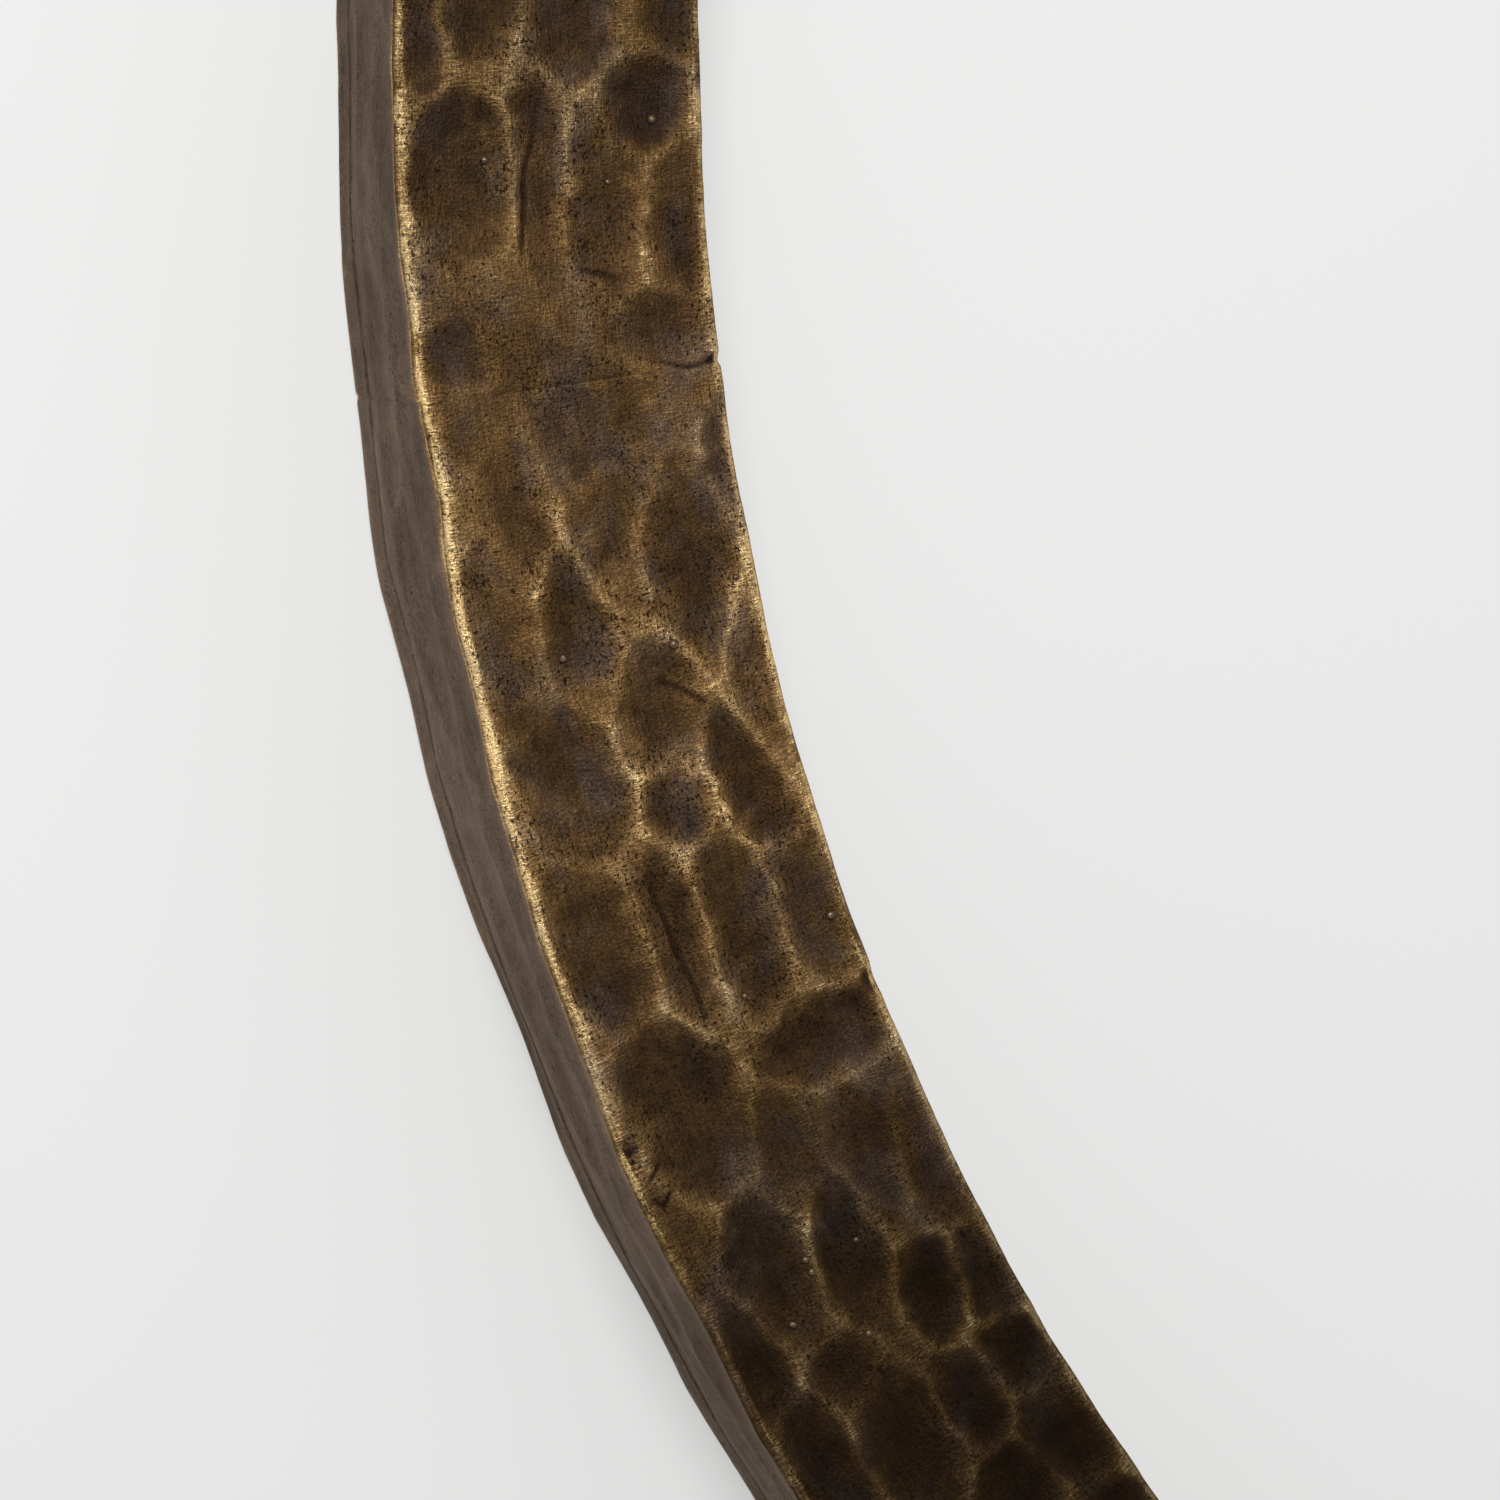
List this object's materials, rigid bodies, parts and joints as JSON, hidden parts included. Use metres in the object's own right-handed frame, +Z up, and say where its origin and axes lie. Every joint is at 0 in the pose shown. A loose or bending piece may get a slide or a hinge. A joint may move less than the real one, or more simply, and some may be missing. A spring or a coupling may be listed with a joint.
{
  "type": "cast bronze shofar",
  "caption": "Curved horn of rectangular section, with gouged bronze castings closed round a brass wind way, a flared bell and a removable mouthpiece.",
  "frame": {"origin": "middle of the footprint, on the resting plane", "axes": "+Z up from the flat back to the gouged front face, mouthpiece towards -Y, bell facing +X"},
  "size_m": [0.3332, 0.5172, 0.0575],
  "materials": {
    "cast_bronze": "dark patinated casting with rubbed, brushed ridges",
    "brass_tube": "drawn tube, dull",
    "turned_brass": "turned and polished by use",
    "screw_steel": "plain machined"
  },
  "bodies": {
    "horn": {"neck_front_shell": "cast_bronze", "neck_back_shell": "cast_bronze", "mid_front_shell": "cast_bronze", "mid_back_shell": "cast_bronze", "upper_front_shell": "cast_bronze", "upper_back_shell": "cast_bronze", "bell_front_shell": "cast_bronze", "bell_back_shell": "cast_bronze", "bell_rim": "cast_bronze", "bell_flare": "brass_tube", "arc_pipe": "brass_tube", "lead_pipe": "brass_tube", "bell_ferrule": "brass_tube", "lead_ferrule": "brass_tube", "neck_cradle": "brass_tube", "mid_cradle_1": "brass_tube", "mid_cradle_2": "brass_tube", "upper_cradle_1": "brass_tube", "upper_cradle_2": "brass_tube", "neck_collar": "cast_bronze", "mouthpiece_receiver": "turned_brass", "shell_screws": "screw_steel"},
    "mouthpiece": {"mouthpiece": "turned_brass"}
  },
  "joints": [
    {"name": "mouthpiece_pull", "type": "slide", "parent": "horn", "child": "mouthpiece", "axis": [0, -1, 0], "range_m": [0, 0.0238]}
  ]
}
